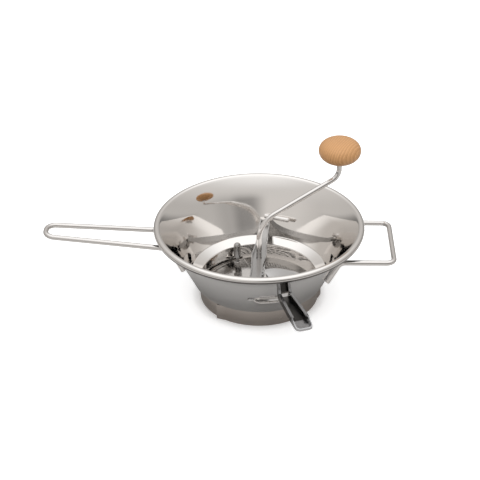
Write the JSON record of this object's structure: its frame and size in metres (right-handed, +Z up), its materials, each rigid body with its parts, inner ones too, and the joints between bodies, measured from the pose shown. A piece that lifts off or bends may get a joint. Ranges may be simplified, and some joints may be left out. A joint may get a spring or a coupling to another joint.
{
  "type": "food mill",
  "caption": "Hand cranked food mill: conical steel bowl with a perforated disc, a spring pressed winding blade, a turning crossbar, a crank with a wooden knob, two wire handles and a pan rest.",
  "frame": {"origin": "centre of the whole box's base; Z = 0 is the plane the base ring stands on", "axes": "+Z up along the bowl's axis, +X from the long handle towards the short handle, the pan rest and its bracket point towards -Y"},
  "size_m": [0.401, 0.2692, 0.1814],
  "materials": {
    "polished_steel": "mirror polished stainless steel",
    "satin_steel": "satin stainless steel",
    "beech": "turned beech, clear lacquer"
  },
  "bodies": {
    "mill_body": {"bowl": "polished_steel", "base_ring": "satin_steel", "sieve_disc": "polished_steel", "long_handle": "polished_steel", "short_handle": "polished_steel", "rest_bracket": "satin_steel"},
    "crossbar_group": {"crossbar": "polished_steel", "crossbar_peg": "polished_steel", "upper_seat": "polished_steel"},
    "spring_group": {"lower_seat": "polished_steel", "spring": "polished_steel"},
    "crank": {"crank_rod": "polished_steel", "knob_collar": "polished_steel", "knob_clip": "polished_steel", "blade_hub": "polished_steel", "hub_pin": "polished_steel", "blade": "satin_steel", "star_washer": "polished_steel", "guide_stud": "satin_steel"},
    "knob_body": {"knob": "beech"}
  },
  "joints": [
    {"name": "crossbar_turn", "type": "hinge", "parent": "mill_body", "child": "crossbar_group", "pos_m": [0.04549, 0.01456, 0.046], "axis": [0, 0, 1], "range_deg": [0, 24]},
    {"name": "blade_float", "type": "slide", "parent": "crossbar_group", "child": "spring_group", "axis": [0, 0, 1], "range_m": [0, 0.004], "stiffness_N_per_m": 2000, "springref_m": -0.01, "deforming": ["spring"]},
    {"name": "crank_spin", "type": "hinge", "parent": "spring_group", "child": "crank", "pos_m": [0.04549, 0.01456, 0.046], "axis": [0, 0, 1], "continuous": true},
    {"name": "knob_spin", "type": "hinge", "parent": "crank", "child": "knob_body", "pos_m": [0.13709, 0.05157, 0.167], "axis": [0, 0, 1], "continuous": true}
  ]
}
